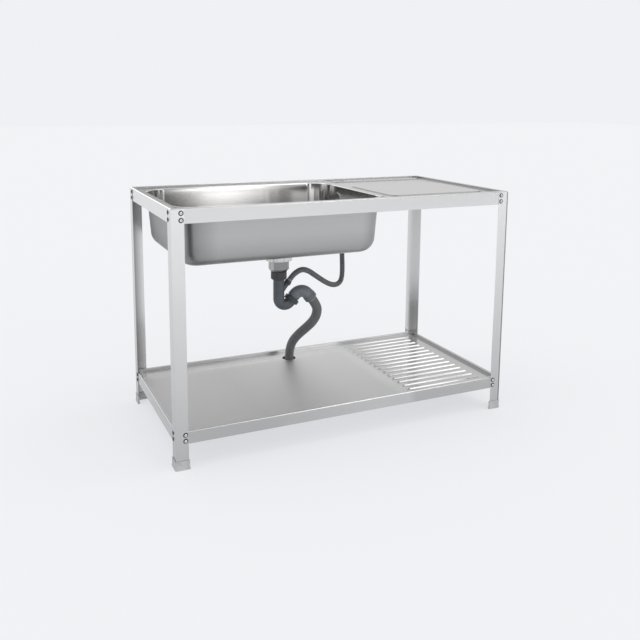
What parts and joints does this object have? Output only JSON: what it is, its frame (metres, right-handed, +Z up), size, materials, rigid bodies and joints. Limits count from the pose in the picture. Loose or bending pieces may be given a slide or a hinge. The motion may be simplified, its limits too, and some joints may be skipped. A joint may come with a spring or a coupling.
{
  "type": "kitchen sink unit",
  "caption": "Free-standing stainless sink unit: pressed worktop with bowl and platform on angle legs, ribbed shelf tray, strainer, trap, drain and overflow hoses.",
  "frame": {"origin": "on the floor, under the middle of the unit's length and depth", "axes": "+X to the right along the length, +Y to the back, +Z up"},
  "size_m": [1.2066, 0.6068, 0.8],
  "materials": {
    "worktop_steel": "fine brushed satin stainless sheet",
    "bowl_steel": "satin drawn stainless, mirror-like inside",
    "leg_steel": "satin stainless angle",
    "tray_steel": "fine brushed satin stainless sheet",
    "screw_steel": "bright plated",
    "strainer_steel": "polished stainless",
    "foot_plastic": "grey moulded plastic",
    "seal_rubber": "black rubber",
    "trap_plastic": "dark slate moulded plastic",
    "nut_plastic": "near-black moulded plastic",
    "hose_plastic": "dark grey ribbed hose"
  },
  "bodies": {
    "unit": {"drain_hose": "hose_plastic", "foot_back_left": "foot_plastic", "foot_back_right": "foot_plastic", "foot_front_left": "foot_plastic", "foot_front_right": "foot_plastic", "hose_end_cuff": "seal_rubber", "hose_nut": "hose_plastic", "leg_back_left": "leg_steel", "leg_back_right": "leg_steel", "leg_front_left": "leg_steel", "leg_front_right": "leg_steel", "outlet_elbow": "trap_plastic", "overflow_cover": "strainer_steel", "overflow_elbow": "trap_plastic", "overflow_hose": "hose_plastic", "overflow_hose_nut": "nut_plastic", "overflow_screw": "screw_steel", "overflow_seal": "seal_rubber", "shelf_nuts": "screw_steel", "shelf_screws": "screw_steel", "shelf_tray": "tray_steel", "sink_bowl": "bowl_steel", "sink_deck": "worktop_steel", "strainer_body": "strainer_steel", "strainer_locknut": "strainer_steel", "strainer_seal": "seal_rubber", "strainer_washer": "seal_rubber", "tailpiece_nut": "nut_plastic", "tailpiece_washer": "seal_rubber", "top_nuts": "screw_steel", "top_screws": "screw_steel", "trap_nut": "nut_plastic", "trap_pipe": "trap_plastic", "trap_washer": "seal_rubber"},
    "basket": {"basket": "strainer_steel"},
    "stopper": {"stopper_stem": "strainer_steel", "stopper_disc": "seal_rubber"}
  },
  "joints": [
    {"name": "basket_lift", "type": "slide", "parent": "unit", "child": "basket", "axis": [0, 0, 1], "range_m": [0, 0.24]},
    {"name": "stopper_lift", "type": "slide", "parent": "basket", "child": "stopper", "axis": [0, 0, 1], "range_m": [0, 0.008]}
  ]
}
